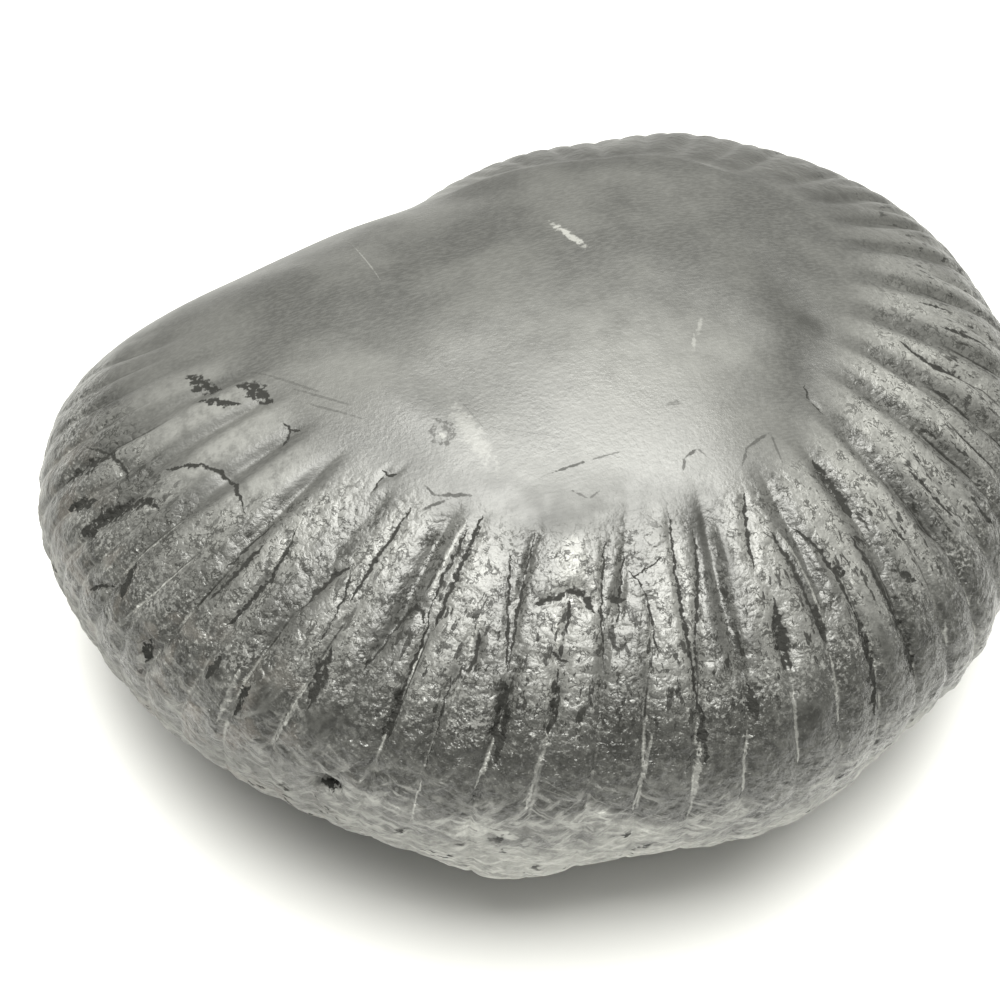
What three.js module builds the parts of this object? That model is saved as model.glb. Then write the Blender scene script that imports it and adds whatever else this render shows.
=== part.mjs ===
// Shaligram stone: a river-worn ammonite fossil, one solid black stone.
// Millimetres, +Z up. The fossil's coil axis stands upright on the origin and the stone rests on a
// worn flat at z = 0. The front is -Y.
// Growth is the angle round the coil, clockwise from the back-left. Tilt is the angle from the coil
// axis: 0 at the top of the cap, 90 at the rim.
import * as THREE from "three";

const { smoothstep, lerp, degToRad, radToDeg, euclideanModulo } = THREE.MathUtils;

// The outline of the whole stone.
const topHeight = 39; // worn top above the surface it rests on
const rimHeight = 19.5; // where the last whorl bulges out furthest
const lowestPoint = -1.8; // where the round underside would end without the worn flat
const backAngle = 150; // growth 0, counterclockwise from +X

// Distance from the coil axis to the rim at equal steps of growth.
const rimRadii = [
  40.9, 36.9, 38.3, 40.7, 42.5, 46, 47.3, 48.1, 47.4, 45.5, 45, 44,
  42.9, 43.8, 44.7, 47.2, 48.2, 50.7, 52.4, 54.7, 56.8, 58.8, 57.1, 47.3,
];

// The front flank bulges fuller than an ellipse. Growth where that begins and ends.
const frontFlank = { fullness: 0.35, begins: [185, 225], ends: [295, 330] };

// Tilt where the smooth cap ends and the ribs begin, at equal steps of growth.
const capEdges = [60, 45, 33, 30, 28.5, 31, 31, 29, 29, 32, 32, 33, 34.5, 35.5, 40, 62];

// The cap overlaps the ribs with a raised lip at the back.
const capLip = { height: 0.5, width: 14, begins: [17, 31], ends: [78, 100] };

// Growth angles of the valleys between the broad ribs that start below the cap.
const valleys = [
  22, 31, 40.5, 50, 60, 69.8, 78.8, 87, 95, 106, 115, 123, 132, 144, 157.5, 170.5, 181, 195,
  206, 217.5, 230.5, 243.5, 256.5, 269, 279.7, 289.3, 297.5, 305.5, 313, 320,
];

// Lines between the narrow ribs of the rim. Before the front each broad rib splits halfway; along
// the front the lines stand apart as follows.
const frontStart = 196;
const frontLines = [
  201, 207.5, 213.7, 219.3, 225, 230.5, 235.6, 240.8, 245.6, 250.5, 255.4, 260.9, 265.3,
  269.8, 274.4, 279.5, 284, 288.7, 293, 297.3, 300.8, 304, 308, 312, 316, 320,
];
const splitTilts = [42, 56]; // where a broad rib turns into narrow ones
const ribDepth = 1; // valley floor below the rib crests on the right flank
const frontShare = 0.7; // the front ribs are flatter
const backShare = 0.3; // and the worn ones at the back flatter still
const rimShare = 0.6; // the ribs sink towards the rim
const ribLean = 1.6; // degrees that the narrow ribs lean forward towards the rim
const ribEnd = 124; // tilt where the ribs have faded out on the underside

// Hollows and lumps: growth and tilt of the middle, half widths in degrees, depth.
const marks = {
  innerValley: { growth: 175, tilt: 24.5, wide: 22, tall: 4.5, depth: 0.9 },
  frontRidge: { growth: 290, tilt: 28, wide: 14, tall: 3, depth: -0.35 },
  blackCrack: { growth: 163.8, tilt: 45, wide: 1.5, tall: 8, depth: 1 },
  sideMark: { growth: 153.2, tilt: 48.5, wide: 1.3, tall: 5, depth: 0.4 },
  rightPit: { growth: 195.4, tilt: 54, wide: 1.5, tall: 2.5, depth: 0.6 },
  rightDeep: { growth: 208.3, tilt: 57, wide: 1.3, tall: 9, depth: 0.5 },
  rightEdge: { growth: 214.5, tilt: 50, wide: 1.5, tall: 8, depth: 0.5 },
  rightHook: { growth: 224.5, tilt: 40, wide: 1.4, tall: 4, depth: 0.5 },
  wedge: { growth: 234.6, tilt: 49, wide: 1.4, tall: 9, depth: 0.5 },
  arrowBrow: { growth: 250.4, tilt: 40.8, wide: 1.5, tall: 3, depth: -0.4 },
  arrowRoof: { growth: 249.9, tilt: 44.9, wide: 3.2, tall: 1.4, depth: 0.8 },
  arrowFoot: { growth: 250.3, tilt: 52.5, wide: 1.3, tall: 1.6, depth: 0.6 },
  split: { growth: 256, tilt: 49, wide: 1.4, tall: 9, depth: 0.5 },
  nick: { growth: 259.5, tilt: 52.5, wide: 1.3, tall: 3.5, depth: 0.6 },
  gap: { growth: 266, tilt: 43, wide: 1.3, tall: 5, depth: 0.4 },
  arch: { growth: 267.8, tilt: 50.5, wide: 2.1, tall: 1.8, depth: 0.6 },
  smallArch: { growth: 277.6, tilt: 49, wide: 1.6, tall: 3, depth: 0.5 },
  notchTop: { growth: 281.5, tilt: 36, wide: 1.8, tall: 1.5, depth: 0.4 },
  bow: { growth: 284.1, tilt: 53, wide: 1.4, tall: 7, depth: 0.6 },
  crescent: { growth: 299.5, tilt: 47.6, wide: 5.5, tall: 1.4, depth: 0.45 },
  lowerCrescent: { growth: 302, tilt: 57.6, wide: 2.6, tall: 2, depth: 0.35 },
  farCrescent: { growth: 310, tilt: 58.2, wide: 3.6, tall: 2, depth: 0.35 },
  chipHigh: { growth: 308.4, tilt: 38, wide: 2.8, tall: 1.3, depth: 0.6 },
  chipLow: { growth: 308.8, tilt: 41.4, wide: 2.4, tall: 1.3, depth: 0.5 },
  chipOuter: { growth: 315.2, tilt: 43.2, wide: 2.4, tall: 1.4, depth: 0.5 },
  rimPit: { growth: 269.4, tilt: 81, wide: 1.8, tall: 2.4, depth: 1 },
  lowLump: { growth: 253, tilt: 103, wide: 6, tall: 5, depth: -1.2 },
};

// Points on the skin: columns run down from the top, rings run round.
const columnsPerRib = 4;
const plainColumns = 24; // across the smooth back-left side
const capRings = [
  { share: 0.25, thinned: 8 },
  { share: 0.45, thinned: 4 },
  { share: 0.62, thinned: 2 },
  { share: 0.76, thinned: 2 },
  { share: 0.89, thinned: 1 },
  { share: 1, thinned: 1 },
];
const flankShares = [0, 0.07, 0.14, 0.21, 0.29, 0.37, 0.46, 0.56, 0.67, 0.78, 0.89, 1];
const flankStep = 1.8; // degrees from the cap's edge to the first ring of the flank
const flankEnd = 95;
const underRings = [
  { tilt: 104, thinned: 1 },
  { tilt: 113, thinned: 1 },
  { tilt: 124, thinned: 2 },
  { tilt: 136, thinned: 2 },
  { tilt: 148, thinned: 4 },
];
const wornTilts = [128, 150]; // the underside is worn smooth between these

const early = valleys.filter((valley) => valley < frontStart);
const halfways = early.slice(1).map((valley, rib) => (early[rib] + valley) / 2);
const lines = [...early, ...halfways, ...frontLines].sort((a, b) => a - b);
const ribColumns = (lines.length - 1) * columnsPerRib;
const columns = ribColumns + plainColumns;

// 1 between the two ends of a span of growth, with a soft rise and fall.
const within = (growth, begins, ends) => smoothstep(growth, ...begins) * (1 - smoothstep(growth, ...ends));

// A closed curve through equally spaced values, read at a growth angle.
function along(values, growth) {
  const step = (euclideanModulo(growth, 360) / 360) * values.length;
  const index = Math.floor(step);
  const near = [-1, 0, 1, 2].map((k) => values[(index + k + values.length) % values.length]);
  const [before, start, end, after] = near;
  const t = step - index;
  const bend = 2 * before - 5 * start + 4 * end - after;
  const turn = 3 * (start - end) + after - before;
  return start + 0.5 * t * (end - before + t * (bend + t * turn));
}

// Growth angle of a column. Every line between narrow ribs is a column.
function growthOf(column) {
  if (column >= ribColumns) return lerp(lines.at(-1), lines[0] + 360, (column - ribColumns) / plainColumns);
  const rib = Math.floor(column / columnsPerRib);
  return lerp(lines[rib], lines[rib + 1], (column % columnsPerRib) / columnsPerRib);
}

// Which rib lies at a growth angle, with the way across it as the fraction.
function ribPlace(borders, growth) {
  const rib = borders.findLastIndex((border) => border <= growth);
  if (rib < 0 || rib + 1 >= borders.length) return 0;
  return rib + (growth - borders[rib]) / (borders[rib + 1] - borders[rib]);
}

// A rib is round across and sharp in the valleys.
const roundRib = (place) => Math.sin(Math.PI * (place - Math.floor(place))) ** 0.7;

// A fixed irregularity for each rib, from 0 to 1.
function chance(seed) {
  const wave = Math.sin(seed * 12.9898 + 4.1) * 43758.5453;
  return wave - Math.floor(wave);
}

// Slow swells of a worn stone, in millimetres.
function swell({ x, y, z }) {
  const broad = 0.1 * Math.sin(0.21 * x + 0.13 * y + 1.1) * Math.cos(0.17 * y - 0.2 * z);
  return broad + 0.03 * Math.sin(0.43 * x - 0.37 * y + 0.3 * z + 0.6);
}

// How far the ribbed surface lies below the smooth outline.
function ribRelief(column, growth, tilt) {
  if (column > ribColumns) return 0;
  const broad = ribPlace(valleys, growth);
  const narrow = column / columnsPerRib;
  const shape = lerp(roundRib(broad), roundRib(narrow), smoothstep(tilt, ...splitTilts));
  const edge = along(capEdges, growth);
  const height = smoothstep(tilt, edge - 1, edge + 7) * (1 - smoothstep(tilt, 96, ribEnd));
  const sunk = lerp(1, rimShare, smoothstep(tilt, 60, 92));
  const towardsBack = lerp(backShare, 1, smoothstep(growth, 80, 170));
  const fresh = towardsBack * lerp(1, frontShare, smoothstep(growth, 190, 225));
  const ends = smoothstep(growth, 18, 27) * (1 - 0.8 * smoothstep(growth, 308, 324));
  const uneven = 0.8 + 0.4 * chance(Math.floor(narrow));
  return ribDepth * uneven * height * sunk * fresh * ends * (1 - shape);
}

function markRelief(growth, tilt) {
  let depth = 0;
  for (const mark of Object.values(marks)) {
    const sideways = (euclideanModulo(growth - mark.growth + 180, 360) - 180) / mark.wide;
    const upward = (tilt - mark.tilt) / mark.tall;
    depth += mark.depth * Math.exp(-(sideways ** 2) - upward ** 2);
  }
  return depth;
}

// One point of the stone's skin for a column and a tilt.
function skinPoint(column, tilt) {
  const lean = column <= ribColumns ? ribLean * (smoothstep(tilt, 40, 90) - 0.5) : 0;
  const growth = growthOf(column) + lean;
  const angle = degToRad(backAngle - growth);
  const radius = along(rimRadii, growth);
  const upper = tilt < 90;
  const rise = upper ? topHeight - rimHeight : lowestPoint - rimHeight;
  const fuller = upper ? frontFlank.fullness * within(growth, frontFlank.begins, frontFlank.ends) : 0;
  const power = 2 + fuller;
  const out = Math.sin(degToRad(tilt));
  const up = (1 - out ** power) ** (1 / power);
  const point = new THREE.Vector3(
    radius * out * Math.cos(angle),
    radius * out * Math.sin(angle),
    rimHeight + rise * up,
  );
  const steep = out ** (power - 1) / radius;
  const outward = new THREE.Vector3(
    steep * Math.cos(angle),
    steep * Math.sin(angle),
    up ** (power - 1) / rise,
  ).normalize();
  const edge = along(capEdges, growth);
  const onCap = tilt <= edge + 0.01 ? smoothstep(tilt, edge - capLip.width, edge - 1) : 0;
  const lip = capLip.height * onCap * within(growth, capLip.begins, capLip.ends);
  const kept = 1 - smoothstep(tilt, ...wornTilts);
  const depth = ribRelief(column, growth, tilt) + markRelief(growth, tilt) - lip;
  return point.addScaledVector(outward, kept * (swell(point) - depth));
}

// The rings follow the cap's edge, so that the edge is a clean line all the way round.
const rings = [];
function addRing(thinned, tiltAt) {
  const ring = [];
  for (let column = 0; column < columns; column += thinned) {
    ring.push(skinPoint(column, tiltAt(growthOf(column))));
  }
  rings.push(ring);
}
for (const { share, thinned } of capRings) {
  addRing(thinned, (growth) => share * along(capEdges, growth));
}
for (const share of flankShares) {
  addRing(1, (growth) => lerp(along(capEdges, growth) + flankStep, flankEnd, share));
}
for (const { tilt, thinned } of underRings) {
  addRing(thinned, () => tilt);
}
const baseTilt = radToDeg(Math.acos(-rimHeight / (rimHeight - lowestPoint)));
addRing(4, () => baseTilt);
const baseRing = rings.at(-1);
for (const point of baseRing) point.z = 0;

const corners = [];
const faces = [];
const starts = rings.map((ring) => {
  const start = corners.length;
  corners.push(...ring);
  return start;
});
const topPole = corners.push(skinPoint(0, 0)) - 1;
const basePole = corners.push(new THREE.Vector3(0, 0, 0)) - 1;

// Number of a ring's point at a step of the way round.
function cornerAt(ring, step, steps) {
  const count = rings[ring].length;
  return starts[ring] + (Math.floor((step * count) / steps) % count);
}

// Joins two neighbouring rings, where one may have twice or four times the points of the other.
function join(upper, lower) {
  const steps = Math.max(rings[upper].length, rings[lower].length);
  for (let step = 0; step < steps; step++) {
    const a = cornerAt(upper, step, steps);
    const b = cornerAt(upper, step + 1, steps);
    const c = cornerAt(lower, step, steps);
    const d = cornerAt(lower, step + 1, steps);
    if (c !== d) faces.push(a, d, c);
    if (a !== b) faces.push(a, b, d);
  }
}
for (let ring = 0; ring + 1 < rings.length; ring++) join(ring, ring + 1);

// The top of the cap and the flat base close the skin.
const topCount = rings[0].length;
for (let i = 0; i < topCount; i++) {
  faces.push(topPole, starts[0] + ((i + 1) % topCount), starts[0] + i);
}
const baseStart = starts.at(-1);
for (let i = 0; i < baseRing.length; i++) {
  faces.push(basePole, baseStart + i, baseStart + ((i + 1) % baseRing.length));
}

const skin = new THREE.BufferGeometry().setFromPoints(corners);
skin.setIndex(faces);
skin.computeVertexNormals();

const blackStone = new THREE.MeshStandardMaterial({ color: 0x3b3b39, roughness: 0.42, metalness: 0 });
const stone = new THREE.Mesh(skin, blackStone);
stone.name = "stone";

const group = new THREE.Group();
group.name = "shaligramStone";
group.add(stone);

export default group;
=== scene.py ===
import math
import bpy
import numpy as np
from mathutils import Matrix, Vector


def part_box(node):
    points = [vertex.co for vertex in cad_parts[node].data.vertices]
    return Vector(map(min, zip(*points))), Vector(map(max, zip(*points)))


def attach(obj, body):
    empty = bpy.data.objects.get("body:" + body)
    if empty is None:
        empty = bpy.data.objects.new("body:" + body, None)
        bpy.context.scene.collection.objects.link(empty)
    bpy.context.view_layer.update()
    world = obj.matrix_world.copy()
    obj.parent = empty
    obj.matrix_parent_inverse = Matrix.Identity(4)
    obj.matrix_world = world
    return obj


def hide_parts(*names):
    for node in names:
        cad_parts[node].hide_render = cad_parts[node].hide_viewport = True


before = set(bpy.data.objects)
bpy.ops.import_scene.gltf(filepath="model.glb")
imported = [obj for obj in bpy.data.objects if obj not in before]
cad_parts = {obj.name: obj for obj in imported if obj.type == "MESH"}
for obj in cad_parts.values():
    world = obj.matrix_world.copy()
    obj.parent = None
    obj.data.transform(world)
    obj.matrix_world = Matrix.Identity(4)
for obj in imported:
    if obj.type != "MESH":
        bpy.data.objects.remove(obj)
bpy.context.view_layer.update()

# A river-worn ammonite: one black stone that lies on its flat, seen from above its front edge.
# The coil axis stands on the origin. Growth runs clockwise from the back-left; tilt is
# measured from the coil axis, 0 at the top of the cap and 90 at the rim.

low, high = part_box("stone")
stoneLength = high[0] - low[0]

stoneForm = {
    "drawnLength": 103.325,      # the millimetres that every size below is drawn in
    "topHeight": 39.0,
    "rimHeight": 19.5,
    "lowestPoint": -1.8,        # where the underside would end without its worn flat
    "backAngle": 150.0,         # growth 0, counterclockwise from +X
    "rimRadii": [40.9, 36.9, 38.3, 40.7, 42.5, 46.0, 47.3, 48.1, 47.4, 45.5, 45.0, 44.0,
                 42.9, 43.8, 44.7, 47.2, 48.2, 50.7, 52.4, 54.7, 56.8, 58.8, 57.1, 47.3],
    "frontFullness": 0.35,      # how much fuller than an ellipse the front flank is
    "capEdges": [60, 45, 33, 30, 28.5, 31, 31, 29, 29, 32, 32, 33, 34.5, 35.5, 36.5, 52],
    "ledge": 0.5,
}
mm = stoneLength / stoneForm["drawnLength"]

stoneSkin = {
    "columns": 700,
    "capRows": 30,
    "flankRows": 94,
    "underRows": 24,
    "flankEnd": 100.0,          # tilt of the last row of the flank
    "capStrides": ((0.1, 20), (0.25, 10), (0.5, 5), (2, 1)),  # up to a share, one column in so many
    "underStrides": ((0.1, 1), (0.6, 2), (2, 4)),
}

# Fields of the skin, each a product of soft steps. A step names what it reads and the spans where
# it rises and falls, with its values outside and inside. All are in degrees but the shares.
skinFields = {
    "frontFull": [("growth", (185, 225), (295, 330), 0, 1)],
    "frontColumns": [("growth", (185, 205), (322, 335), 1, 2.6)],
    "sideColumns": [("growth", (10, 20), (328, 340), 0.45, 0)],
    "ribbed": [("pastEdge", (-1, 7), None, 0, 1), ("tilt", None, (96, 124), 0, 1),
               ("growth", (18, 27), (322, 336), 0, 1), ("growth", (312, 326), None, 1, 0.5),
               ("growth", (80, 170), None, 0.3, 1)],
    "worn": [("tilt", None, (128, 150), 0, 1)],
    "flaky": [("roughEdge", (-1, 6), None, 0, 1), ("growth", (14, 44), (316, 340), 0, 1),
              ("growth", (110, 190), None, 0.5, 1), ("tilt", None, (96, 112), 0, 1)],
    "ledge": [("growth", (14, 36), (78, 100), 0, 1), ("pastEdge", (-14, -1), (0, 1.5), 0, 1)],
    "groove": [("share", (0, 0.5), None, 0, 1), ("share", (0.75, 1), None, 1, 0.4)],
    "grooveShade": [("share", (0, 0.5), None, 0, 1), ("share", (0.6, 0.95), None, 1, 0.25)],
    # pale dust on the right-hand ribs, laid on their crests as a painted highlight too
    "dustAndCrestSheen": [("growth", (100, 175), (306, 326), 0, 1), ("growth", (200, 226), None, 1, 0.6),
              ("pastEdge", (-3, 8), None, 0, 1), ("pastEdge", (12, 28), None, 1, 0.7),
              ("tilt", None, (58, 70), 0, 1)],
    # the pale band under the rim, a chalky coat painted paler as well for the table's reflected light
    "paleBand": [("growth", (165, 205), (325, 350), 0.35, 1), ("growth", (250, 272), (325, 350), 1, 0.5),
               ("tilt", (112, 135), None, 1, 0.4)],
    "rusty": [("growth", (262, 280), (312, 325), 0, 1), ("tilt", (58, 70), (104, 116), 0, 1)],
    # painted shade on the ribs behind the cap's back edge
    "backShade": [("growth", (16, 40), (110, 150), 0, 0.5), ("pastEdge", (0, 4), None, 0, 1)],
}
roughLeft = {"span": (283, 300), "delay": 14.0}  # the rough flank starts later at the left

# The broad ribs below the cap lie between valleys, and each splits into the narrow ribs of the rim,
# which lie between lines. Both are growth angles: past frontStart the lines were read one by one,
# before it they are the valleys and their halfway marks.
ribPlan = {
    "valleys": [22, 31, 40.5, 50, 60, 69.8, 78.8, 87, 95, 106, 115, 123, 132, 144, 157.5, 170.5, 181, 195,
                206, 217.5, 230.5, 243.5, 256.5, 269, 279.7, 289.3, 297.5, 305.5, 313, 320, 327, 334],
    "valleyShares": [0.8, 0.8, 0.8, 0.8, 0.9, 0.9, 0.9, 0.9, 0.9, 0.9, 0.9, 0.9, 0.9, 1, 1, 1, 1, 0.9,
                     0.8, 0.7, 1, 0.12, 0.2, 0.8, 0.12, 0.8, 0.8, 0.8, 0.7, 0.7, 0.6, 0.5],
    "frontStart": 196,
    "frontLines": [201, 207.5, 213.7, 219.3, 225, 230.5, 235.6, 240.8, 245.6, 250.5, 255.4, 260.9, 265.3,
                   269.8, 274.4, 279.5, 284, 288.7, 293, 297.3, 300.8, 304, 308, 312, 316, 320, 323.5,
                   327, 330.5, 334],
    "sweep": 1.6,               # degrees that the narrow ribs lean forward towards the rim
}

ribs = {
    "Valley Depth": 0.55 * mm,
    "Valley Width": 0.75 * mm,
    "Line Depth": 0.26 * mm,
    "Line Width": 0.3 * mm,
    "Crown": 0.5 * mm,          # how far the ribs stand up between the lines
    "Fork Tilt": 48.0,
    "Fork Spread": 8.0,
    "Crinkle Depth": 0.34 * mm,
    "Crinkle Size": 2.2 * mm,
    "Seed": 7,
}

# Hollows and lumps that are not ribs: growth and tilt of the middle, half widths, depth.
hollows = {
    "frontRidge": (290, 28, 14, 3.0, -0.35),
    "arrowBrow": (250.4, 41.8, 1.7, 2.2, -0.2),
    "lowLump": (253, 103, 6, 5, -1.2),
    "rimPit": (269.4, 81, 1.6, 1.6, 1.0),
}

# Smooth patches of painted shade, darkened in colour and gloss, in the same way but with a strength. The
# first kind is also less rough.
shades = {
    "lowLeft": (277, 69, 1.8, 4.5, 1.1),
    "lowLeftSide": (282.8, 69.5, 1.5, 4, 0.7),
    "lowMiddle": (271.5, 68, 1.8, 4, 1.1),
    "nearMiddle": (268.6, 64.5, 1.2, 4, 0.8),
    "farLeft": (291.2, 68, 1.5, 5, 0.6),
    "rightEdge": (211.4, 64, 1.3, 9, 0.8),
    "rightEdgeFar": (206.4, 64, 1.1, 8, 0.6),
    "rightFar": (200.5, 62, 1.2, 8, 0.6),
    "rightBand": (229, 72, 9, 5, 0.25),
    "leftRim": (312, 74, 13, 6.5, 0.65),
    "rightLow": (223.5, 66, 3, 5.5, 0.8),
    "rightHigh": (228.6, 42, 0.7, 5, 0.7),
    "wedgeHigh": (231.2, 38, 0.9, 4, 0.6),
}
# Painted shade that also dulls the gloss, on the cap's edge where the lamp catches it too brightly, in the
# same way.
dullAndShaded = {"capEdge": (248, 35, 24, 4.5, 0.7)}

# A painted highlight where the lamp catches the cap, laid in a paler tone: middle and half widths in
# millimetres, strength.
capLights = {
    "front": (1, -12, 15, 8, 1.0),
    "left": (-23, -12, 7, 4, 0.6),
}

# The groove between the worn cap and the right-hand ribs, as a path of growth and tilt. Its painted shade,
# a darkening of colour and gloss, lies towards the ribs and is darkest at one growth angle.
innerValley = {
    "path": [(96, 15), (109, 15.4), (122, 15.6), (139, 16.8), (156, 19.5), (167, 22), (175, 24.4),
             (184.5, 25.8), (194, 27.3), (202, 29.5)],
    "halfWidth": 2.6,
    "depth": 0.6,
    "shadeShift": 1.3,
    "shadeWidth": 2.4,
    "darkestAt": 170.0,
    "darkestSpan": 9.0,
    "plainShade": 0.55,
}

# How the cracks, chips, veins and pale crests are carved, in millimetres.
carving = {
    "share": 0.35,              # of each depth below, since the finish paints shade in place of the rest
    "softness": 0.15,           # added to each half width
    "reach": 0.9,               # how far beyond its half width a path counts
    "endFade": 0.25,
    "endShare": 0.05,           # squared, what an end keeps of the half width
    "far": 1000.0,              # where no path is near
}

# Cracks and chips: a path of growth and tilt, a half width and a depth.
cracks = {
    "wedgeRight": ([(232.6, 37.5), (233, 42), (234, 46.5), (234.9, 52), (235.3, 58)], 0.2, 0.6),
    "wedgeLeft": ([(236.2, 35.5), (236.4, 43), (236, 50), (235.5, 58), (235.2, 66)], 0.22, 0.7),
    "hairline": ([(243, 43.2), (240, 42), (236.8, 40.4)], 0.1, 0.25),
    "bowRight": ([(242.9, 41.8), (241, 44.3), (240, 48), (239.5, 54)], 0.14, 0.3),
    "slotRight": ([(243.6, 39.5), (243.8, 44), (244.1, 49)], 0.15, 0.6),
    "notchRight": ([(245.6, 45.3), (243.2, 45.5)], 0.38, 0.8),
    "slotLeft": ([(246.5, 37.5), (246.4, 42), (246.2, 47), (245.3, 55)], 0.13, 0.45),
    "roofLeft": ([(254.2, 45.8), (252.3, 45.2), (250.8, 44.2)], 0.36, 0.9),
    "roofRight": ([(251.2, 44.3), (249.5, 44), (248.3, 45.2), (247, 46.8)], 0.5, 1.2),
    "stemShade": ([(250.2, 45.5), (250, 49.5)], 0.22, 0.6),
    "stemFoot": ([(251.2, 51.7), (250.3, 52.9), (249.3, 53.1)], 0.25, 0.9),
    "stemLow": ([(250.3, 54), (250.1, 58), (250.5, 63)], 0.22, 0.7),
    "splitLeft": ([(259.2, 40), (257.7, 45), (256.5, 50), (255.5, 55)], 0.16, 0.45),
    "splitRight": ([(256.7, 37), (256.5, 42), (256, 48), (255.4, 55)], 0.18, 0.55),
    "splitFoot": ([(255.4, 56), (254.9, 61), (254.8, 68)], 0.5, 0.9),
    "nick": ([(259.7, 49.8), (259.3, 52.5), (259.4, 55.5)], 0.3, 1.0),
    "nickFoot": ([(261, 56), (260.8, 63), (260.9, 72)], 0.14, 0.5),
    "frayedRight": ([(264.9, 36.5), (264.8, 41), (264.6, 46), (264.5, 51)], 0.3, 0.4),
    "gapRight": ([(266.2, 38.5), (266, 43), (266, 48)], 0.18, 0.6),
    "archRight": ([(265.9, 47.8), (265.2, 53), (265.3, 59), (265.2, 67)], 0.18, 0.7),
    "archLeft": ([(269.6, 59), (269, 54), (268.6, 51)], 0.16, 0.5),
    "archTop": ([(268.9, 53), (268.4, 50.3), (267.6, 49), (266.7, 49.2), (266, 50.6)], 0.3, 1.0),
    "smallArch": ([(278.7, 54.5), (278.3, 50.5), (277.5, 48), (276.8, 47.3)], 0.28, 0.9),
    "smallArchRight": ([(276.6, 47.4), (275.6, 49.5), (275.1, 53), (274.9, 58)], 0.14, 0.35),
    "frayedMiddle": ([(274.9, 38), (274.7, 44), (274.5, 51)], 0.28, 0.35),
    "notchTop": ([(282.6, 35.4), (281.2, 35.7), (279.9, 34.9)], 0.16, 0.5),
    "notchTail": ([(281.9, 35.6), (281.4, 38)], 0.12, 0.3),
    "bowLeft": ([(285.4, 46), (284.2, 49.8), (283.8, 53.5), (283.9, 58), (284.3, 62)], 0.24, 0.9),
    "bowKnot": ([(283.9, 52.8), (283.4, 53.6)], 0.3, 0.7),
    "frayedLeft": ([(287, 50), (287.1, 55), (287.4, 60)], 0.35, 0.45),
    "frayedFar": ([(288.5, 47.5), (288.6, 55)], 0.3, 0.35),
    "crescent": ([(304, 51.5), (302.9, 49.6), (301.4, 48.1), (299, 46.9), (296, 46.7), (291.7, 48.3)],
                 0.25, 0.35),
    "crescentEnd": ([(304.1, 52), (303.2, 50), (301.8, 48.7)], 0.38, 0.3),
    "lowerCrescent": ([(304, 61), (303.2, 58.3), (301.9, 56.8), (299.8, 56)], 0.35, 0.6),
    "farCrescent": ([(314.3, 62), (312.3, 59.3), (310.5, 57.8), (308.4, 57), (306, 57.3)], 0.3, 0.5),
    "forkMark": ([(300.1, 37.9), (298.4, 38), (297.2, 37.2)], 0.2, 0.15),
    "forkTail": ([(298.3, 38), (297, 39.6)], 0.2, 0.15),
    "cornerLine": ([(190.2, 27.5), (193.8, 29.2), (195, 32)], 0.16, 0.3),
    "rightHook": ([(222.4, 35), (223.6, 37.5), (224.9, 41), (225.4, 44.5)], 0.26, 0.7),
    "rightSplit": ([(224, 49), (224.3, 54), (224.5, 59)], 0.5, 0.9),
    "rightRim": ([(220.9, 41), (219.8, 47), (219.5, 53), (219.3, 58)], 0.35, 0.6),
    "rightEdge": ([(216.6, 42), (214.8, 46), (213.9, 51), (213.8, 56), (213.4, 60)], 0.3, 0.8),
    "rightDeep": ([(208.6, 47), (208.3, 53), (208.2, 60), (208, 68)], 0.4, 0.7),
    "rightPit": ([(196.8, 52), (195.4, 53.8), (194.4, 57)], 0.45, 0.9),
    "rightMark": ([(190.6, 46), (190.2, 51), (190.1, 56)], 0.35, 0.6),
    "rightFar": ([(184.5, 60), (184, 66)], 0.4, 0.6),
    "blackCrack": ([(162.8, 37), (163.8, 40), (164.5, 43.5), (163.6, 46.5), (163.3, 49.5), (164, 52.8)],
                   0.6, 1.5),
    "sideMark": ([(153.6, 44), (153.2, 48), (153, 53)], 0.35, 0.5),
    "sideSmall": ([(148.8, 40.5), (148.2, 44), (148, 47)], 0.28, 0.4),
    "lowSlant": ([(299.8, 75.5), (298.6, 72.4), (297.5, 70.6)], 0.3, 0.7),
}
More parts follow.
